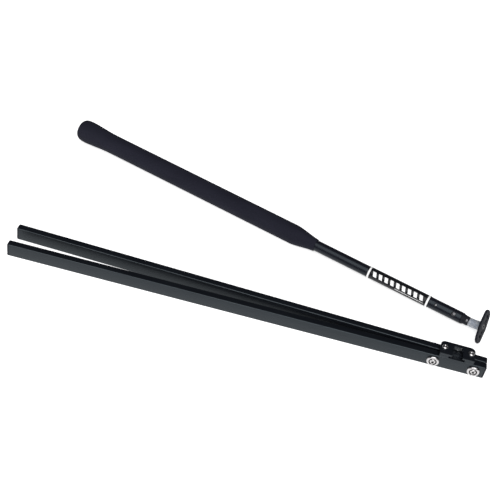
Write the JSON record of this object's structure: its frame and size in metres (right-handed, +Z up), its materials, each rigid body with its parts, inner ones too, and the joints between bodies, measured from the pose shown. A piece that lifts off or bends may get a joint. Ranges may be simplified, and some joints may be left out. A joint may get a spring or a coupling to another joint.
{
  "type": "dinghy tiller with tiller extension",
  "caption": "Dinghy tiller of box beams forked at the rudder end, with a quick-release bracket, and its detached extension with a foam grip, flexible neck and flat foot.",
  "frame": {"origin": "on the surface that the set lies on, under the middle of the bounding box", "axes": "+X along the tiller from its forked rudder end to its bracket end, +Y from the tiller to the extension lying beside it, +Z up"},
  "size_m": [0.6564, 0.3, 0.034],
  "materials": {
    "anodised_arm": "satin black anodised",
    "anodised_tube": "satin black anodised, drawn lengthwise",
    "nylon": "moulded black nylon",
    "stainless": "bright turned stainless steel",
    "dark_steel": "blackened steel, satin",
    "foam": "fine closed-cell foam, matt",
    "urethane": "translucent greyish white urethane, satin",
    "label": "printed vinyl, plain white marks"
  },
  "bodies": {
    "tiller": {"near_arm": "anodised_arm", "far_arm": "anodised_arm", "bracket_base": "anodised_arm", "bracket_plate": "anodised_arm", "base_rivet_1": "anodised_arm", "base_rivet_2": "anodised_arm", "base_rivet_3": "anodised_arm", "base_rivet_4": "anodised_arm", "catch_rivet": "anodised_arm", "near_arm_rear_plug": "nylon", "near_arm_front_plug": "nylon", "far_arm_rear_plug": "nylon", "far_arm_front_plug": "nylon", "arm_spacer": "nylon", "rear_bolt": "stainless", "front_bolt": "stainless", "rear_cup_washer": "stainless", "front_cup_washer": "stainless", "rear_flat_washer": "stainless", "front_flat_washer": "stainless", "rear_lock_nut": "stainless", "front_lock_nut": "stainless", "bracket_screw_1": "stainless", "bracket_screw_2": "stainless", "catch_leaf_heel": "stainless"},
    "catch": {"catch_leaf_tongue": "stainless", "catch_nose": "stainless"},
    "extension": {"foam_grip": "foam", "grip_end_plug": "nylon", "extension_tube": "anodised_tube", "label_band": "label", "neck_ferrule": "nylon", "ferrule_rivet": "dark_steel", "ferrule_screw": "dark_steel", "neck_pin": "dark_steel"},
    "neck": {"flexible_neck": "urethane"},
    "foot": {"joint_foot": "nylon", "foot_screw": "dark_steel"}
  },
  "joints": [
    {"name": "extension_lift", "type": "slide", "parent": "tiller", "child": "extension", "axis": [0, 0, 1], "range_m": [0, 0.25]},
    {"name": "neck_bend_long", "type": "hinge", "parent": "extension", "child": "neck", "pos_m": [0.30449, -0.05349, 0.0128], "axis": [0.242, 0.7899, 0.5635], "range_deg": [-35.5, 84.5], "stiffness_Nm_per_rad": 0.1, "deforming": ["flexible_neck"]},
    {"name": "neck_bend_short", "type": "hinge", "parent": "neck", "child": "foot", "pos_m": [0.31293, -0.05668, 0.01466], "axis": [0.5399, 0.3729, -0.7546], "range_deg": [-53.1, 66.9], "stiffness_Nm_per_rad": 0.1, "deforming": ["flexible_neck"]},
    {"name": "catch_lift", "type": "hinge", "parent": "tiller", "child": "catch", "pos_m": [0.28661, -0.12055, 0.0258], "axis": [-1, 0, 0], "range_deg": [0, 22], "stiffness_Nm_per_rad": 0.05}
  ]
}
